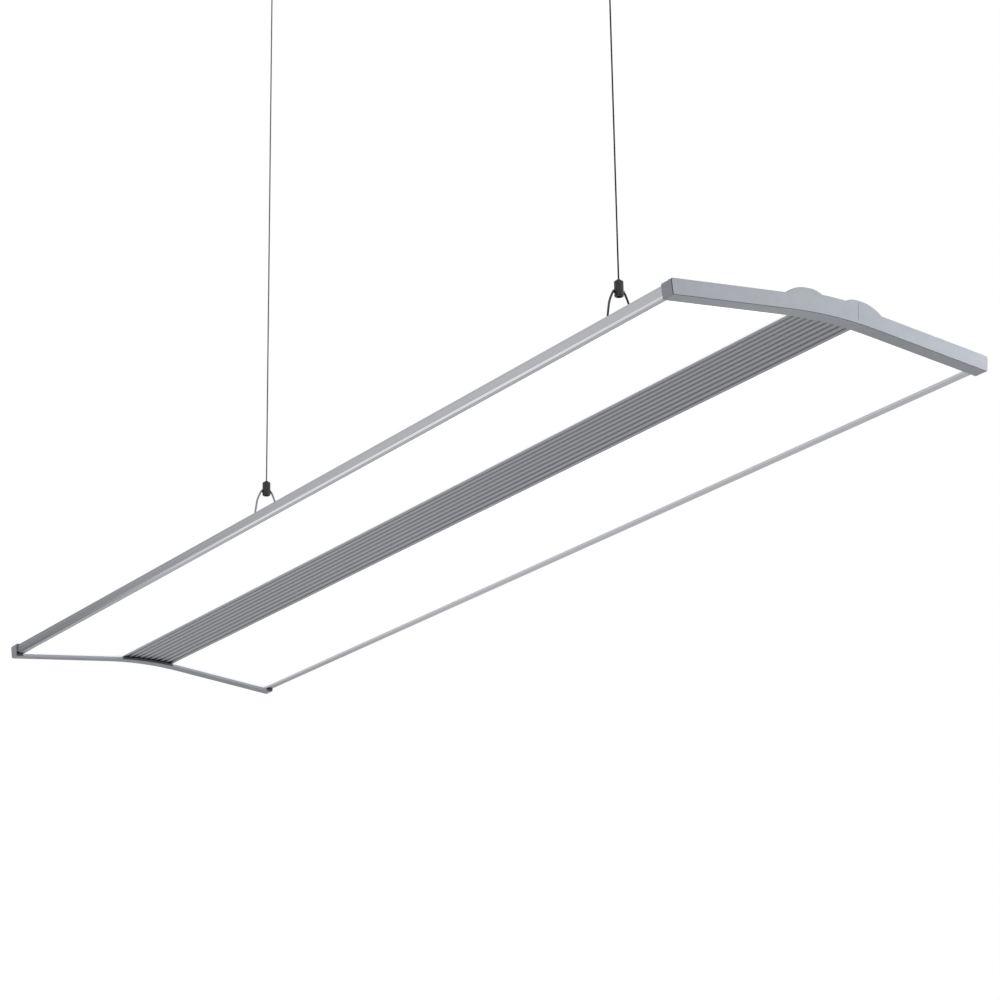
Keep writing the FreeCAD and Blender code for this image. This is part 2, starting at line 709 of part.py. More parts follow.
# Inside of a gripper, as heights above its lower face
cavity_radius = GRIPPER_RADIUS - GRIPPER_WALL
throat_radius = cavity_radius - TAPER_NARROWING
nozzle_radius = throat_radius - NOZZLE_STEP
ball_radius = (throat_radius - CABLE_RADIUS) / 2 - BALL_GAP
cavity_low = BAIL_HOLE_HEIGHT + BOSS_RADIUS + CAVITY_WEB
ball_height = cavity_low + SPRING_LENGTH + BALL_GAP + ball_radius
taper_high = ball_height + ball_radius
collar_low = taper_high + BALL_GAP
collar_high = collar_low + NOZZLE_COLLAR
cavity_high = collar_high + NOZZLE_RUNNING_GAP
gripper_length = cavity_high + CAVITY_ROOF
cable_bore = CABLE_RADIUS + CABLE_GAP


def gripper_body(end):
    """Turned body: a tapered cavity for the grip balls, a well below and a hole in each side for the bail."""
    body = upright(GRIPPER_RADIUS, 0, gripper_length)
    body = round_edges(body, GRIPPER_ROUND, level_circle(gripper_length))
    body = round_edges(body, GRIPPER_FOOT_ROUND, level_circle(0))
    boss_reach = GRIPPER_RADIUS + BOSS_LENGTH
    body = body.fuse(crossbar(BOSS_RADIUS, -boss_reach, boss_reach, 0, BAIL_HOLE_HEIGHT)).removeSplitter()
    cavity = at_heights([
        (cavity_radius, cavity_low),
        (cavity_radius, taper_high - TAPER_DROP),
        (throat_radius, taper_high),
        (throat_radius, cavity_high),
    ])
    bore = upright(cable_bore, 0, gripper_length)
    well = upright(WELL_RADIUS, 0, WELL_DEPTH)
    mouth = upright(nozzle_radius + NOZZLE_RUNNING_GAP, cavity_high, gripper_length)
    hole_radius = BAIL_RADIUS + SEAT_GAP
    hole_start = GRIPPER_RADIUS - BAIL_SEAT
    right_hole = crossbar(hole_radius, hole_start, boss_reach, 0, BAIL_HOLE_HEIGHT)
    left_hole = crossbar(hole_radius, -boss_reach, -hole_start, 0, BAIL_HOLE_HEIGHT)
    body = body.cut([cavity, bore, well, mouth, right_hole, left_hole])
    return body.translated(Vector(0, end * hang_y, gripper_z))


def release_nozzle(end):
    """Plunger at the top of the gripper; pressed in, it pushes the balls off the cable."""
    top = gripper_length + NOZZLE_RISE
    stem = upright(nozzle_radius, collar_low, top)
    stem = round_edges(stem, NOZZLE_ROUND, level_circle(top))
    collar = upright(throat_radius - NOZZLE_RUNNING_GAP, collar_low, collar_high)
    nozzle = stem.fuse(collar).removeSplitter().cut(upright(cable_bore, collar_low, top))
    return nozzle.translated(Vector(0, end * hang_y, gripper_z))


def grip_balls(end):
    """Balls that wedge between the cable and the taper."""
    reach = CABLE_RADIUS + BALL_GAP + ball_radius
    balls = []
    for index in range(BALL_COUNT):
        turn = 2 * math.pi * index / BALL_COUNT
        centre = Vector(reach * math.cos(turn), reach * math.sin(turn), ball_height)
        balls.append(Part.makeSphere(ball_radius, centre))
    return Part.makeCompound(balls).translated(Vector(0, end * hang_y, gripper_z))


def release_spring(end):
    """Plain sleeve in the space of the hidden spring under the balls."""
    outer = throat_radius - NOZZLE_RUNNING_GAP
    low = gripper_z + cavity_low
    high = low + SPRING_LENGTH
    sleeve = upright(outer, low, high, 0, end * hang_y)
    return sleeve.cut(upright(outer - SPRING_WALL, low, high, 0, end * hang_y))


def cable(end):
    """Steel cable from its ball stop down into the well of its gripper."""
    low = gripper_z + CABLE_END_RISE
    return upright(CABLE_RADIUS, low, stop_z - STOP_RADIUS - SEAT_GAP, 0, end * hang_y)


def ball_stop(end):
    """Ball at the cable's top end that hangs in the ceiling cap."""
    return Part.makeSphere(STOP_RADIUS, Vector(0, end * hang_y, stop_z))


def ceiling_base(end):
    """Base on the ceiling: a flange and a threaded boss round the fixing screw's hole."""
    boss_radius = CEILING_CAP_RADIUS - CEILING_CAP_WALL
    flange = upright(CEILING_CAP_RADIUS, -CEILING_FLANGE, 0)
    base = flange.fuse(upright(boss_radius, boss_low_z, -CEILING_FLANGE)).removeSplitter()
    hole = upright(FIXING_HOLE_RADIUS, boss_low_z, 0)
    head = upright(FIXING_HEAD_RADIUS, boss_low_z, boss_low_z + FIXING_HEAD_DEPTH)
    return base.cut([hole, head]).translated(Vector(0, end * hang_y, 0))


def ceiling_cap(end):
    """Cap screwed over the base; its floor is a cup for the ball stop, flared for the cable's swing."""
    cap = upright(CEILING_CAP_RADIUS, cap_end_z, -CEILING_FLANGE)
    cap = round_edges(cap, CEILING_CAP_ROUND, level_circle(cap_end_z))
    bore = upright(CEILING_CAP_RADIUS - CEILING_CAP_WALL + THREAD_GAP, boss_low_z, -CEILING_FLANGE)
    seat_radius = STOP_RADIUS + STOP_SEAT_GAP
    chamber = upright(seat_radius, stop_z, boss_low_z)
    seat = Part.makeSphere(seat_radius, Vector(0, 0, stop_z))
    depth = stop_z - cap_end_z
    cone_foot = CABLE_RADIUS + CABLE_GAP + depth * math.tan(math.radians(SWING_CONE_ANGLE))
    cone = at_heights([(cone_foot, cap_end_z), (CABLE_RADIUS + CABLE_GAP, stop_z)])
    return cap.cut([bore, chamber, seat, cone]).translated(Vector(0, end * hang_y, 0))


def light_pieces():
    """Every piece of the light itself, by node name."""
    pieces = {
        "spine": spine(),
        "driver_cover": driver_cover(),
        "cover_spacers": cover_spacers(),
        "cover_screws": screw_group(cover_screws),
        "end_cap_screws": screw_group(cap_screws),
        "bracket_screws": screw_group(bracket_screws),
        "terminal_block": terminal_block(),
        "inlet_grommet": inlet_grommet(),
        "left_supply_lead": left_supply_lead(),
        "right_supply_lead": right_supply_lead(),
    }
    paired = (rail, diffuser, light_guide, reflector, back_plate, led_strip, led_chips, driver, led_lead)
    for name, side in (("left", -1), ("right", 1)):
        for make in paired:
            pieces[name + "_" + make.__name__] = make(side)
    return pieces


def hanging_pieces():
    """Every piece of the two suspensions and ends, by node name."""
    paired = (
        end_cap, bail_brackets, bail, gripper_body, release_nozzle, grip_balls, release_spring,
        cable, ball_stop, ceiling_base, ceiling_cap,
    )
    pieces = {}
    for name, end in (("near", -1), ("far", 1)):
        for make in paired:
            pieces[name + "_" + make.__name__] = make(end)
    return pieces


def main():
    os.makedirs("parts", exist_ok=True)
    pieces = {**light_pieces(), **hanging_pieces()}
    for node, shape in pieces.items():
        shape.exportStep("parts/" + node + ".step")
        state = "valid" if shape.isValid() else "NOT VALID"
        print(node, len(shape.Solids), "solids", round(shape.Volume, 1), "mm3", state)


main()
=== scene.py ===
import json
import math

import bpy
from mathutils import Matrix, Vector


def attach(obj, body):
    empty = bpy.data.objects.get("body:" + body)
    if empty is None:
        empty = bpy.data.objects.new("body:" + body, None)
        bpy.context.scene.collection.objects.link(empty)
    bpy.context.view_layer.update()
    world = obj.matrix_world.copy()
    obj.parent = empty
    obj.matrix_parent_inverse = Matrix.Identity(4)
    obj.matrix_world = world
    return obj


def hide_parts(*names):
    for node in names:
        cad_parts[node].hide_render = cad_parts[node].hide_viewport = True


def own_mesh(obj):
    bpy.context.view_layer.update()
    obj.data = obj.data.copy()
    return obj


# A slim pendant light with two lit panels, hung on two steel cables.
# Metres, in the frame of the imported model: the origin is on the ceiling, Y runs along the light.

# Camera, with its angles in degrees
CAMERA_PLACE = (-1.33375, -2.13879, -1.55726)
CAMERA_YAW = 33.52
CAMERA_PITCH = 18.29
CAMERA_ROLL = -0.93
FOCAL_PIXELS = 2804.0
PICTURE_PIXELS = 1000.0
SENSOR_MM = 36.0

# Floor, and the glow that lifts its lit colour to white, less so in reflections of its far parts
FLOOR_Z = -5.0
FLOOR_SIZE = 400.0
FLOOR_COLOURS = ((0.80, 0.80, 0.79), (0.83, 0.83, 0.82))
FLOOR_CELL = (0.4, 0.4, 0.4)
FLOOR_ROUGHNESS = (0.55, 0.65)
FLOOR_NEAR_GLOW = (0.575, 0.57, 0.57)
FLOOR_FAR_GLOW = (0.345, 0.35, 0.36)
FLOOR_NEAR_REACH = 8.0
FLOOR_FAR_REACH = 18.0

# Background, sky light, and a soft grey card that only reflections show
WHITE = (1.0, 1.0, 1.0)
SKY_COLOUR = (0.96, 0.98, 1.0)
SKY_LIGHT = 0.5
CARD_WAY = (-0.40, 0.90, 0.17)
CARD_GREY = (0.08, 0.09, 0.11)
CARD_EDGE = 0.992
CARD_MIDDLE = 0.9985

# Soft lamp on the right of the near end
LAMP_PLACE = (0.74, -1.2, -0.87)
LAMP_TARGET = (0.1, -0.6, -0.745)
LAMP_SIZE = 0.5
LAMP_POWER = 15.0

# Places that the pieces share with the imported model
END_SIDES = (("near", -1.0), ("far", 1.0))
HANG_Y = 0.3175
CABLE_LOW_Z = -0.6256
CABLE_HIGH_Z = -0.02205
SPRING_LOW_Z = -0.6211
SPRING_HIGH_Z = -0.6179

# Steel cables: six wires laid round a seventh, so three wires across
WIRE_RADIUS = 0.00025
WIRES_ROUND_CORE = 6
WIRE_LAY = 0.0125
WIRE_SIDES = 6
CABLE_ROUTE_POINTS = 5
CABLE_RESOLUTION = 220
CABLE_LENGTH = CABLE_HIGH_Z - CABLE_LOW_Z

# Release springs
SPRING_RADIUS = 0.00214
SPRING_WIRE_RADIUS = 0.00024
SPRING_TURNS = 4.0
SPRING_STEPS = 160
SPRING_SIDES = 8

# Marks of slanted faces, which carry a painted highlight and painted shade, set in over these products of two
# parts of the normal.
# A product of 0.5 is halfway between two axes.
BEVEL_SLANT = (0.30, 0.42)
CAP_EDGE_SLANT = (0.2, 0.4)
CAP_CORNER_SLANT = (0.15, 0.35)

# Upward part of the normal over which the painted shade on undersides fades out
UNDERSIDE_FADE = (-0.98, -0.90)

# Stretches along the light over which the painted highlight, the painted shade and the painted light rise or
# fade, and what two of them are at its near end
SHINE_RISE_Y = (-0.6, -0.4)
SHINE_FADE_Y = (0.05, 0.42)
SHINE_AT_END = 0.6
FAR_SHADE_RISE_Y = (0.20, 0.55)
SHADE_FADE_Y = (-0.6, 0.1)
SHADE_AT_END = 0.5
FAR_LIGHT_RISE_Y = (-0.1, 0.1)

# Where the caps' lips lie in shadow beside the spine and the rails
LIP_INNER_Y = 0.595
LIP_SQUARE_NORMAL = 0.9
LIP_TOP_Z = -0.7405
LIP_DROOP = 0.09
SPINE_HALF_WIDTH = 0.0306
RAIL_INNER_X = 0.1495

# Grain: the range that its noise mostly keeps to, and the sizes of its specks along X, Y and Z
GRAIN_RANGE = (0.3, 0.7)
GRAIN_DETAIL = 3.0
DRAWN = (0.0012, 0.5, 0.0012)
FINE_DRAWN = (0.0005, 0.25, 0.0005)
SPECK = (0.0012, 0.0012, 0.0012)

# Sockets of a colour mix node
MIX_FACTOR = 0
MIX_FIRST = 6
MIX_SECOND = 7
MIX_RESULT = 2

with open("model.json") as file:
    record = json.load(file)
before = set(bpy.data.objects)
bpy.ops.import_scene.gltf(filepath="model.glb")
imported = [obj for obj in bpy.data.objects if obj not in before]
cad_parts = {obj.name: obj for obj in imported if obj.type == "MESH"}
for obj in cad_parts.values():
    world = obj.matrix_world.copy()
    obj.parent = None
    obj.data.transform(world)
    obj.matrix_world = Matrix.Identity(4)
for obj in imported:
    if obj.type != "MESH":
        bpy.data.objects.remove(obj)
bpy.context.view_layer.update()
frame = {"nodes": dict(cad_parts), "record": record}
nodes = frame["nodes"]


# Shader nodes


def feed(tree, socket, value):
    """Links a socket where the value is another socket, and sets it where it is a plain value."""
    if isinstance(value, bpy.types.NodeSocket):
        tree.links.new(value, socket)
    else:
        socket.default_value = value


def node(tree, kind, inputs=None):
    """New shader node with some of its inputs fed."""
    made = tree.nodes.new(kind)
    for key, value in (inputs or {}).items():
        feed(tree, made.inputs[key], value)
    return made


def math_node(tree, operation, *values):
    """One sum on one or two values."""
    made = tree.nodes.new("ShaderNodeMath")
    made.operation = operation
    for socket, value in zip(made.inputs, values):
        feed(tree, socket, value)
    return made.outputs[0]


def vector_measure(tree, operation, *vectors):
    """One number worked out from one or two vectors."""
    made = tree.nodes.new("ShaderNodeVectorMath")
    made.operation = operation
    for socket, vector in zip(made.inputs, vectors):
        feed(tree, socket, vector)
    return made.outputs["Value"]


def ranged(tree, value, low, high, start, end):
    """Value that goes from low to high as another one goes from start to end."""
    inputs = {"Value": value, "From Min": start, "From Max": end, "To Min": low, "To Max": high}
    return node(tree, "ShaderNodeMapRange", inputs).outputs["Result"]


def mixed(tree, factor, first, second):
    """Colour between two colours: the first a socket or a plain colour, the second a plain colour."""
    mix = tree.nodes.new("ShaderNodeMix")
    mix.data_type = "RGBA"
    feed(tree, mix.inputs[MIX_FACTOR], factor)
    feed(tree, mix.inputs[MIX_FIRST], first if isinstance(first, bpy.types.NodeSocket) else (*first, 1.0))
    feed(tree, mix.inputs[MIX_SECOND], (*second, 1.0))
    return mix.outputs[MIX_RESULT]


def grain(tree, cell):
    """Noise from 0 to 1 in the piece's own space; cell is the size of a speck along X, Y and Z."""
    place = node(tree, "ShaderNodeTexCoord").outputs["Object"]
    scale = [1.0 / size for size in cell]
    mapped = node(tree, "ShaderNodeMapping", {"Vector": place, "Scale": scale})
    inputs = {"Vector": mapped.outputs["Vector"], "Scale": 1.0, "Detail": GRAIN_DETAIL}
    return node(tree, "ShaderNodeTexNoise", inputs).outputs["Fac"]


def coordinates(tree, kind):
    """X, Y and Z of a place or a normal in the piece's own space."""
    place = node(tree, "ShaderNodeTexCoord").outputs[kind]
    return node(tree, "ShaderNodeSeparateXYZ", {"Vector": place}).outputs


# Marks: each makes a factor that is 1 on the marked faces and 0 elsewhere


def turned_faces(first_axis, second_axis, slant):
    """Mark of faces that slant halfway between two axes of the piece."""
    def factor(tree):
        parts = coordinates(tree, "Normal")
        product = math_node(tree, "MULTIPLY", parts[first_axis], parts[second_axis])
        return ranged(tree, math_node(tree, "ABSOLUTE", product), 0.0, 1.0, *slant)
    return factor


def turned_down(axis, slant):
    """Mark of faces that slant halfway between an axis of the piece and straight down."""
    turned = turned_faces(axis, "Z", slant)

    def factor(tree):
        downward = math_node(tree, "LESS_THAN", coordinates(tree, "Normal")["Z"], 0.0)
        return math_node(tree, "MULTIPLY", turned(tree), downward)
    return factor


def undersides(tree):
    """Mark of painted shade on the faces that look straight down."""
    return ranged(tree, coordinates(tree, "Normal")["Z"], 1.0, 0.0, *UNDERSIDE_FADE)


def far_rail_shade(tree):
    """How far the painted shade on the rails has risen on the way to the far end."""
    return ranged(tree, coordinates(tree, "Object")["Y"], 0.0, 1.0, *FAR_SHADE_RISE_Y)


rail_bevels = turned_down("X", BEVEL_SLANT)
# Painted shade on the caps' rounded lower edges and on their rounded upright corners
shaded_cap_edges = turned_down("Y", CAP_EDGE_SLANT)
shaded_cap_corners = turned_faces("X", "Y", CAP_CORNER_SLANT)


def painted_highlight_bevels(tree):
    """Mark of a painted highlight on the rails' bevels, brightest in the near half of the light."""
    along = coordinates(tree, "Object")["Y"]
    near_shine = ranged(tree, along, SHINE_AT_END, 1.0, *SHINE_RISE_Y)
    far_shine = ranged(tree, along, 1.0, 0.0, *SHINE_FADE_Y)
    shine = math_node(tree, "MULTIPLY", near_shine, far_shine)
    return math_node(tree, "MULTIPLY", rail_bevels(tree), shine)


def shaded_far_bevels(tree):
    """Mark of painted shade on the rails' bevels, rising towards the far end."""
    return math_node(tree, "MULTIPLY", rail_bevels(tree), far_rail_shade(tree))


def shaded_far_undersides(tree):
    """Mark of painted shade on the rails' undersides, rising towards the far end."""
    return math_node(tree, "MULTIPLY", undersides(tree), far_rail_shade(tree))


def near_shade(tree):
    """Mark of the spine's slightly darker near half."""
    return ranged(tree, coordinates(tree, "Object")["Y"], SHADE_AT_END, 0.0, *SHADE_FADE_Y)


def lit_far_suspension(tree):
    """Mark of painted light on the far suspension, whose steel is painted paler than that of the near one."""
    return ranged(tree, coordinates(tree, "Object")["Y"], 0.0, 1.0, *FAR_LIGHT_RISE_Y)


def lip_shadow(tree):
    """Mark of a cap's inner lip face where the spine and the rails end over it."""
    place = coordinates(tree, "Object")
    across = math_node(tree, "ABSOLUTE", place["X"])
    along = math_node(tree, "ABSOLUTE", place["Y"])
    facing = math_node(tree, "ABSOLUTE", coordinates(tree, "Normal")["Y"])
    level = math_node(tree, "ADD", place["Z"], math_node(tree, "MULTIPLY", across, LIP_DROOP))
    inside = math_node(tree, "LESS_THAN", along, LIP_INNER_Y)
    square = math_node(tree, "GREATER_THAN", facing, LIP_SQUARE_NORMAL)
    low = math_node(tree, "LESS_THAN", level, LIP_TOP_Z)
    spine = math_node(tree, "LESS_THAN", across, SPINE_HALF_WIDTH)
    rails = math_node(tree, "GREATER_THAN", across, RAIL_INNER_X)
    face = math_node(tree, "MULTIPLY", math_node(tree, "MULTIPLY", inside, square), low)
    return math_node(tree, "MULTIPLY", face, math_node(tree, "MAXIMUM", spine, rails))


# Materials


# Rails: painted shade on the undersides, a painted highlight on the bevels, and painted shade on both towards
# the far end
RAIL_MARKS = [
    (undersides, (0.40, 0.404, 0.423)),
    (painted_highlight_bevels, (0.88, 0.88, 0.90)),
    (shaded_far_bevels, (0.18, 0.182, 0.192)),
    (shaded_far_undersides, (0.26, 0.264, 0.278)),
]
# Caps: painted shade on the undersides, the rounded lower edges, the upright corners and the inner lip faces
PAINT_MARKS = [
    (undersides, (0.272, 0.283, 0.309)),
    (shaded_cap_edges, (0.10, 0.104, 0.115)),
    (shaded_cap_corners, (0.05, 0.052, 0.06)),
    (lip_shadow, (0.085, 0.087, 0.094)),
]

# Looks by the record's slot name; the cover has its own shade of the aluminium slot
LOOKS = {
    "satin_aluminium": dict(
        colours=((0.42, 0.425, 0.445), (0.48, 0.485, 0.505)), cell=DRAWN, roughness=(0.18, 0.26),
        bump=(FINE_DRAWN, 0.000006), marks=RAIL_MARKS, Metallic=1.0,
    ),
    "cover_aluminium": dict(
        colours=((0.33, 0.336, 0.355), (0.39, 0.396, 0.415)), cell=DRAWN, roughness=(0.30, 0.38),
        bump=(FINE_DRAWN, 0.000006), Metallic=0.8,
    ),
    "grey_anodised": dict(
        colours=((0.30, 0.305, 0.325), (0.36, 0.365, 0.385)), cell=DRAWN, roughness=(0.36, 0.46),
        bump=(FINE_DRAWN, 0.000006), marks=[(near_shade, (0.225, 0.228, 0.24))], Metallic=0.9,
    ),
    "silver_paint": dict(
        colours=((0.315, 0.328, 0.36), (0.345, 0.358, 0.39)),
        cell=(0.012, 0.012, 0.012), roughness=(0.36, 0.46),
        bump=((0.0007, 0.0007, 0.0007), 0.00002), marks=PAINT_MARKS, Metallic=0.25,
    ),
    "opal_acrylic": dict(
        colours=((0.93, 0.93, 0.93), (0.96, 0.96, 0.96)), cell=SPECK, roughness=(0.30, 0.38),
        bump=(SPECK, 0.000008), Emission_Color=(*WHITE, 1.0), Emission_Strength=0.66,
    ),
    "clear_acrylic": dict(
        colours=((0.95, 0.97, 0.98), (0.98, 0.99, 0.99)), cell=SPECK, roughness=(0.02, 0.06),
        Transmission_Weight=1.0, IOR=1.49,
    ),
    "white_film": dict(
        colours=((0.86, 0.86, 0.86), (0.92, 0.92, 0.92)), cell=SPECK, roughness=(0.35, 0.5),
        bump=(SPECK, 0.000008),
    ),
    "led_yellow": dict(
        colours=((0.80, 0.62, 0.08), (0.86, 0.70, 0.16)), cell=SPECK, roughness=(0.3, 0.4),
        bump=(SPECK, 0.00001),
    ),
    "white_plastic": dict(
        colours=((0.76, 0.76, 0.74), (0.82, 0.82, 0.80)), cell=SPECK, roughness=(0.38, 0.5),
        bump=(SPECK, 0.00002),
    ),
    "lead_sheath": dict(
        colours=((0.70, 0.69, 0.66), (0.78, 0.77, 0.74)), cell=SPECK, roughness=(0.4, 0.5),
        bump=(SPECK, 0.00001),
    ),
    "black_rubber": dict(
        colours=((0.014, 0.014, 0.015), (0.024, 0.024, 0.025)), cell=SPECK, roughness=(0.55, 0.7),
        bump=(SPECK, 0.00003),
    ),
    "bright_steel": dict(
        colours=((0.50, 0.50, 0.51), (0.60, 0.60, 0.61)), cell=SPECK, roughness=(0.22, 0.34),
        bump=(SPECK, 0.000006), Metallic=1.0,
    ),
    # The far suspension's wire and cable steel carry painted light, paler than the near ones
    "wire_steel": dict(
        colours=((0.04, 0.04, 0.043), (0.075, 0.075, 0.079)),
        cell=(0.0004, 0.0004, 0.02), roughness=(0.26, 0.40),
        bump=((0.0003, 0.0003, 0.02), 0.000008), marks=[(lit_far_suspension, (0.26, 0.26, 0.266))], Metallic=1.0,
    ),
    "cable_steel": dict(
        colours=((0.014, 0.014, 0.015), (0.03, 0.03, 0.031)),
        cell=(0.0006, 0.0006, 0.004), roughness=(0.26, 0.40),
        marks=[(lit_far_suspension, (0.16, 0.16, 0.164))], Metallic=1.0,
    ),
    "black_metal": dict(
        colours=((0.010, 0.010, 0.011), (0.017, 0.017, 0.018)),
        cell=(0.004, 0.004, 0.0004), roughness=(0.34, 0.46),
        bump=((0.004, 0.004, 0.0003), 0.000008),
    ),
    "satin_nickel": dict(
        colours=((0.50, 0.48, 0.45), (0.58, 0.56, 0.53)),
        cell=(0.02, 0.02, 0.0004), roughness=(0.26, 0.36),
        bump=((0.02, 0.02, 0.0003), 0.000006), Metallic=1.0,
    ),
}


def finish(name, colours, cell, roughness, bump=None, marks=(), **values):
    """Material of two close colours and two roughnesses, mixed by one grain, with a bump of its own grain.

    bump is (cell, height in metres). Each mark is (maker of its factor, colour there).
    The other values are the same all over and go straight to the shader's own sockets.
    """
    material = bpy.data.materials.new(name)
    material.use_nodes = True
    tree = material.node_tree
    shader = tree.nodes["Principled BSDF"]
    specks = grain(tree, cell)
    colour = mixed(tree, ranged(tree, specks, 0.0, 1.0, *GRAIN_RANGE), *colours)
    for make_factor, marked in marks:
        colour = mixed(tree, make_factor(tree), colour, marked)
    tree.links.new(colour, shader.inputs["Base Color"])
    tree.links.new(ranged(tree, specks, *roughness, *GRAIN_RANGE), shader.inputs["Roughness"])
    if bump:
        bump_cell, height = bump
        inputs = {"Height": grain(tree, bump_cell), "Distance": height, "Strength": 1.0}
        tree.links.new(node(tree, "ShaderNodeBump", inputs).outputs["Normal"], shader.inputs["Normal"])
    for key, value in values.items():
        shader.inputs[key.replace("_", " ")].default_value = value
    return material


materials = {name: finish(name, **look) for name, look in LOOKS.items()}


def dress(piece, look):
    """Gives a piece its one material."""
    piece.data.materials.clear()
    piece.data.materials.append(materials[look])


for subpart in frame["record"]["subparts"]:
    dress(nodes[subpart["node"]], subpart["material_slot"])
dress(nodes["driver_cover"], "cover_aluminium")


# Modelled pieces


def new_piece(name, vertices, faces, slot, body, replaced):
    """Mesh with smooth sides and flat ends that stands for CAD nodes and rides on a body."""
    mesh = bpy.data.meshes.new(name)
    mesh.from_pydata(vertices, [], faces)
    mesh.polygons.foreach_set("use_smooth", [len(face) == 4 for face in faces])
    mesh.update()
    piece = bpy.data.objects.new(name, mesh)
    bpy.context.scene.collection.objects.link(piece)
    dress(piece, slot)
    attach(piece, body)
    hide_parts(*replaced)
    return piece


def tube_along(line, radius, sides):
    """Vertices and faces of a closed round tube along a line of points."""
    vertices = []
    faces = []
    across = Vector((1.0, 0.0, 0.0))
    last = len(line) - 1
    for index, point in enumerate(line):
        way = (line[min(index + 1, last)] - line[max(index - 1, 0)]).normalized()
        across = (across - way * across.dot(way)).normalized()
        beside = way.cross(across)
        for side in range(sides):
            turn = math.tau * side / sides
            vertices.append(point + (across * math.cos(turn) + beside * math.sin(turn)) * radius)
    for ring in range(last):
        for side in range(sides):
            first = ring * sides + side
            second = ring * sides + (side + 1) % sides
            faces.append((first, second, second + sides, first + sides))
    faces.append(tuple(reversed(range(sides))))
    faces.append(tuple(last * sides + side for side in range(sides)))
    return vertices, faces


def joined(shapes):
    """Vertices and faces of several shapes as one."""
    vertices = []
    faces = []
    for shape_vertices, shape_faces in shapes:
        start = len(vertices)
        vertices.extend(shape_vertices)
        faces.extend(tuple(index + start for index in face) for face in shape_faces)
    return vertices, faces


def spline_line(route, resolution):
    """Points along the smooth spline of a route."""
    curve = bpy.data.curves.new("route", "CURVE")
    curve.dimensions = "3D"
    spline = curve.splines.new("NURBS")
    spline.points.add(len(route) - 1)
    for point, place in zip(spline.points, route):
        point.co = (*place, 1.0)
    spline.order_u = 3
    spline.use_endpoint_u = True
    spline.resolution_u = resolution
    holder = bpy.data.objects.new("route", curve)
    mesh = bpy.data.meshes.new_from_object(holder)
    line = [vertex.co.copy() for vertex in mesh.vertices]
    bpy.data.meshes.remove(mesh)
    bpy.data.curves.remove(curve)
    return line


def helix(line, radius, lay, start_turn):
    """Line that winds round an upright one, once every lay."""
    points = []
    along = 0.0
    before = line[0]
    for here in line:
        along += (here - before).length
        before = here
        turn = start_turn + math.tau * along / lay
        points.append(here + Vector((math.cos(turn), math.sin(turn), 0.0)) * radius)
    return points


def steel_cable(end, side):
    """Cable of seven wires from the gripper up to the ball stop at the ceiling."""
    rise = CABLE_LENGTH / (CABLE_ROUTE_POINTS - 1)
    route = [(0.0, side * HANG_Y, CABLE_LOW_Z + rise * index) for index in range(CABLE_ROUTE_POINTS)]
    line = spline_line(route, CABLE_RESOLUTION)
    wires = [tube_along(line, WIRE_RADIUS, WIRE_SIDES)]
    for wire in range(WIRES_ROUND_CORE):
        start_turn = math.tau * wire / WIRES_ROUND_CORE
        wound = helix(line, 2.0 * WIRE_RADIUS, WIRE_LAY, start_turn)
        wires.append(tube_along(wound, WIRE_RADIUS, WIRE_SIDES))
    node_name = end + "_cable"
    piece = new_piece(end + "_wire_rope", *joined(wires), "cable_steel", node_name, [node_name])


def release_spring(end, side):
    """Coil spring under the grip balls of a gripper."""
    low = SPRING_LOW_Z + SPRING_WIRE_RADIUS
    high = SPRING_HIGH_Z - SPRING_WIRE_RADIUS
    points = []
    for step in range(SPRING_STEPS + 1):
        share = step / SPRING_STEPS
        turn = math.tau * SPRING_TURNS * share
        x = SPRING_RADIUS * math.cos(turn)
        y = side * HANG_Y + SPRING_RADIUS * math.sin(turn)
        points.append(Vector((x, y, low + (high - low) * share)))
    shape = tube_along(points, SPRING_WIRE_RADIUS, SPRING_SIDES)
    node_name = end + "_release_spring"
    piece = new_piece(end + "_coil_spring", *shape, "bright_steel", end + "_gripper", [node_name])
    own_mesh(piece)


for end_name, end_side in END_SIDES:
    steel_cable(end_name, end_side)
    release_spring(end_name, end_side)


# Stage, light and camera


def seen_rays(tree):
    """1 for rays that show the background: to the camera, in a reflection or through glass."""
    rays = node(tree, "ShaderNodeLightPath").outputs
    seen = math_node(tree, "MAXIMUM", rays["Is Camera Ray"], rays["Is Glossy Ray"])
    return math_node(tree, "MAXIMUM", seen, rays["Is Transmission Ray"])


def in_reflections(tree, factor):
    """Factor kept for reflections alone."""
    glossy = node(tree, "ShaderNodeLightPath").outputs["Is Glossy Ray"]
    return math_node(tree, "MULTIPLY", factor, glossy)


def background_colour(tree):
    """White, with a soft grey card beyond the far end of the light in reflections."""
    way = node(tree, "ShaderNodeTexCoord").outputs["Generated"]
    toward = vector_measure(tree, "DOT_PRODUCT", way, Vector(CARD_WAY).normalized())
    card = ranged(tree, toward, 0.0, 1.0, CARD_EDGE, CARD_MIDDLE)
    return mixed(tree, in_reflections(tree, card), WHITE, CARD_GREY)


def make_world():
    """White background for the camera and for reflections, plain sky light for the rest."""
    world = bpy.data.worlds.new("studio")
    bpy.context.scene.world = world
    world.use_nodes = True
    tree = world.node_tree
    sky = tree.nodes["Background"]
    sky.inputs["Color"].default_value = (*SKY_COLOUR, 1.0)
    sky.inputs["Strength"].default_value = SKY_LIGHT
    white = node(tree, "ShaderNodeBackground", {"Color": background_colour(tree), "Strength": 1.0})
    mix = node(tree, "ShaderNodeMixShader", {0: seen_rays(tree), 1: sky.outputs[0], 2: white.outputs[0]})
    tree.links.new(mix.outputs[0], tree.nodes["World Output"].inputs["Surface"])


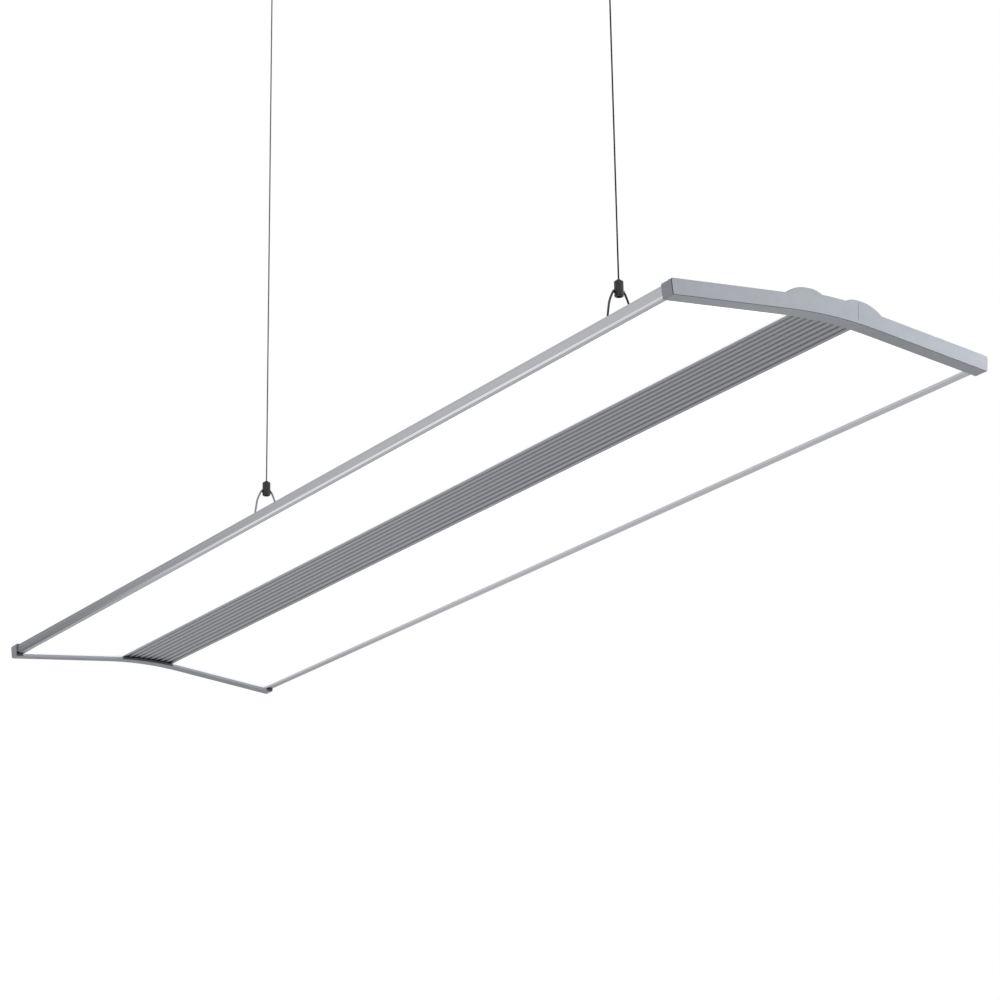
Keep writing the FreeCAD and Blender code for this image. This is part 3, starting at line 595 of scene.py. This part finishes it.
def make_floor():
    """Plain pale floor, well below every camera, with a glow added to its lit colour."""
    half = FLOOR_SIZE / 2.0
    corners = [(-half, -half, FLOOR_Z), (half, -half, FLOOR_Z), (half, half, FLOOR_Z), (-half, half, FLOOR_Z)]
    mesh = bpy.data.meshes.new("floor")
    mesh.from_pydata(corners, [], [(0, 1, 2, 3)])
    floor = bpy.data.objects.new("floor", mesh)
    bpy.context.scene.collection.objects.link(floor)
    pale = finish("pale_floor", FLOOR_COLOURS, FLOOR_CELL, FLOOR_ROUGHNESS, Specular_IOR_Level=0.0)
    tree = pale.node_tree
    reach = vector_measure(tree, "LENGTH", node(tree, "ShaderNodeTexCoord").outputs["Object"])
    distance = ranged(tree, reach, 0.0, 1.0, FLOOR_NEAR_REACH, FLOOR_FAR_REACH)
    shade = mixed(tree, in_reflections(tree, distance), FLOOR_NEAR_GLOW, FLOOR_FAR_GLOW)
    glow = node(tree, "ShaderNodeEmission", {"Color": shade, "Strength": seen_rays(tree)})
    lit = tree.nodes["Principled BSDF"]
    shown = node(tree, "ShaderNodeAddShader", {0: lit.outputs[0], 1: glow.outputs[0]})
    tree.links.new(shown.outputs[0], tree.nodes["Material Output"].inputs["Surface"])
    floor.data.materials.append(pale)


def make_lamp():
    """Square soft lamp that neither the camera nor a reflection shows."""
    data = bpy.data.lights.new("front_lamp", "AREA")
    data.shape = "SQUARE"
    data.size = LAMP_SIZE
    data.energy = LAMP_POWER
    lamp = bpy.data.objects.new("front_lamp", data)
    bpy.context.scene.collection.objects.link(lamp)
    lamp.location = LAMP_PLACE
    lamp.rotation_euler = (Vector(LAMP_TARGET) - Vector(LAMP_PLACE)).to_track_quat("-Z", "Y").to_euler()
    lamp.visible_camera = False
    lamp.visible_glossy = False


def make_camera():
    """Camera below the near left end, looking up along the light."""
    yaw = math.radians(CAMERA_YAW)
    pitch = math.radians(CAMERA_PITCH)
    roll = math.radians(CAMERA_ROLL)
    ahead = Vector((math.sin(yaw) * math.cos(pitch), math.cos(yaw) * math.cos(pitch), math.sin(pitch)))
    level = Vector((math.cos(yaw), -math.sin(yaw), 0.0))
    upward = level.cross(ahead)
    right = level * math.cos(roll) + upward * math.sin(roll)
    up = upward * math.cos(roll) - level * math.sin(roll)
    data = bpy.data.cameras.new("camera")
    data.sensor_width = SENSOR_MM
    data.lens = FOCAL_PIXELS / PICTURE_PIXELS * SENSOR_MM
    camera = bpy.data.objects.new("camera", data)
    bpy.context.scene.collection.objects.link(camera)
    axes = Matrix((right, up, -ahead)).transposed().to_4x4()
    camera.matrix_world = Matrix.Translation(CAMERA_PLACE) @ axes
    bpy.context.scene.camera = camera


make_world()
make_floor()
make_lamp()
make_camera()
bpy.context.scene.view_settings.view_transform = "Standard"
